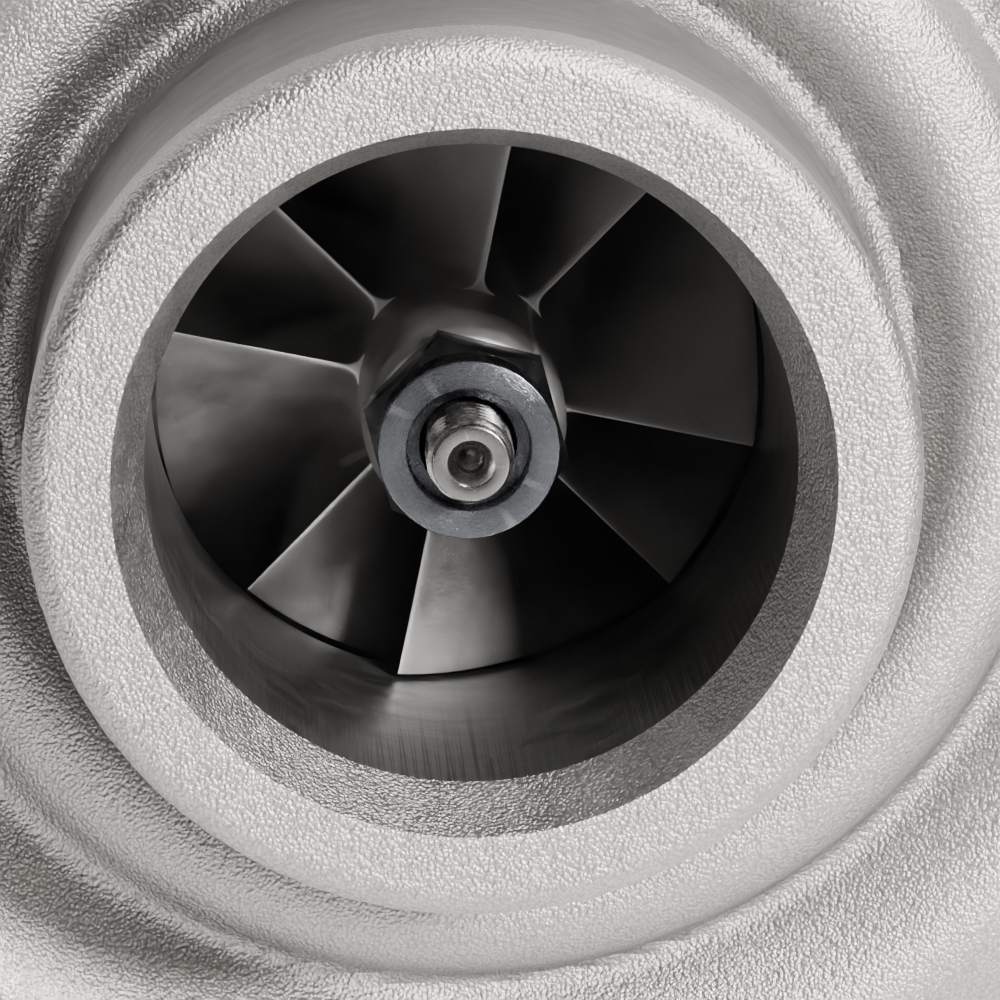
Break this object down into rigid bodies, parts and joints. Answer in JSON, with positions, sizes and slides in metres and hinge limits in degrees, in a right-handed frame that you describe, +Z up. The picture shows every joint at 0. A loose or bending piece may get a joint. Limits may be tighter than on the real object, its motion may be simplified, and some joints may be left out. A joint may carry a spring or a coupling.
{
  "type": "turbocharger",
  "caption": "Small car turbocharger: radial compressor and turbine on one shaft, oil-fed bearing housing, and an exhaust wastegate opened by a boost-pressure actuator.",
  "frame": {"origin": "centre of the turbine inlet flange's face, where the turbocharger hangs on the exhaust manifold", "axes": "+Y along the rotor's shaft from the compressor inlet to the turbine outlet, +Z up, away from the manifold"},
  "size_m": [0.1432, 0.1678, 0.1244],
  "materials": {
    "cast_aluminium": "shot-blasted cast",
    "machined_aluminium": "machined",
    "wheel_aluminium": "satin, fine cast, dark grey",
    "cast_iron": "sand cast",
    "turbine_iron": "sand cast, heat tinted",
    "inconel": "investment cast, matt",
    "shaft_steel": "ground",
    "plated_steel": "bright plated",
    "zinc_steel": "zinc plated",
    "stainless": "brushed stainless",
    "bronze": "bearing bronze, machined",
    "brass": "machined brass",
    "rubber": "matt black rubber",
    "spring_steel": "oiled spring steel"
  },
  "bodies": {
    "housing": {"compressor_cover": "cast_aluminium", "compressor_backplate": "machined_aluminium", "backplate_o_ring": "rubber", "cover_clamp_upper": "zinc_steel", "cover_clamp_lower": "zinc_steel", "cover_bolt_1": "zinc_steel", "cover_bolt_2": "zinc_steel", "cover_bolt_3": "zinc_steel", "cover_bolt_4": "zinc_steel", "cover_bolt_5": "zinc_steel", "cover_bolt_6": "zinc_steel", "compressor_seal_ring": "spring_steel", "turbine_seal_ring": "spring_steel", "oil_deflector": "stainless", "thrust_bearing": "bronze", "bearing_spacer": "shaft_steel", "centre_housing": "cast_iron", "heat_shield": "stainless", "turbine_housing": "turbine_iron", "vband_clamp": "stainless", "vband_bolt": "zinc_steel", "vband_nut": "zinc_steel", "outlet_stud_1": "zinc_steel", "outlet_stud_2": "zinc_steel", "outlet_stud_3": "zinc_steel", "outlet_stud_4": "zinc_steel", "wastegate_bush": "bronze", "actuator_bracket": "zinc_steel", "actuator_can": "zinc_steel", "actuator_cap": "zinc_steel", "actuator_diaphragm": "rubber", "actuator_spring": "spring_steel", "bracket_nut_1": "zinc_steel", "bracket_nut_2": "zinc_steel", "actuator_nipple": "brass", "cover_nipple": "brass", "boost_hose": "rubber", "hose_clip_1": "spring_steel", "hose_clip_2": "spring_steel"},
    "rotor": {"rotor_shaft": "shaft_steel", "turbine_wheel": "inconel", "thrust_collar": "shaft_steel", "oil_flinger": "shaft_steel", "compressor_wheel": "wheel_aluminium", "compressor_nut": "plated_steel"},
    "front_bearing": {"journal_bearing_compressor": "bronze"},
    "rear_bearing": {"journal_bearing_turbine": "bronze"},
    "wastegate": {"wastegate_arm": "inconel", "wastegate_flap": "inconel", "flap_washer": "stainless", "wastegate_lever": "stainless", "lever_pin": "shaft_steel", "pin_clip": "spring_steel"},
    "rod": {"actuator_rod": "plated_steel", "actuator_piston": "zinc_steel", "rod_locknut": "zinc_steel", "rod_end": "plated_steel"}
  },
  "joints": [
    {"name": "rotor_spin", "type": "hinge", "parent": "housing", "child": "rotor", "pos_m": [0.0415, 0, 0.062], "axis": [0, 1, 0], "continuous": true},
    {"name": "front_bearing_float", "type": "hinge", "parent": "housing", "child": "front_bearing", "pos_m": [0.0415, 0, 0.062], "axis": [0, 1, 0], "continuous": true},
    {"name": "rear_bearing_float", "type": "hinge", "parent": "housing", "child": "rear_bearing", "pos_m": [0.0415, 0, 0.062], "axis": [0, 1, 0], "continuous": true},
    {"name": "wastegate_hinge", "type": "hinge", "parent": "housing", "child": "wastegate", "pos_m": [0.0045, 0.024, 0.0265], "axis": [-1, 0, 0], "range_deg": [0, 30]},
    {"name": "rod_slide", "type": "slide", "parent": "housing", "child": "rod", "axis": [0, 1, 0], "range_m": [0, 0.00828], "stiffness_N_per_m": 1000, "springref_m": -0.005, "deforming": ["actuator_spring", "actuator_diaphragm"]}
  ],
  "couplings": [
    {"joint": "wastegate_hinge", "follows": "rod_slide", "rad_per_m": 63.22}
  ]
}
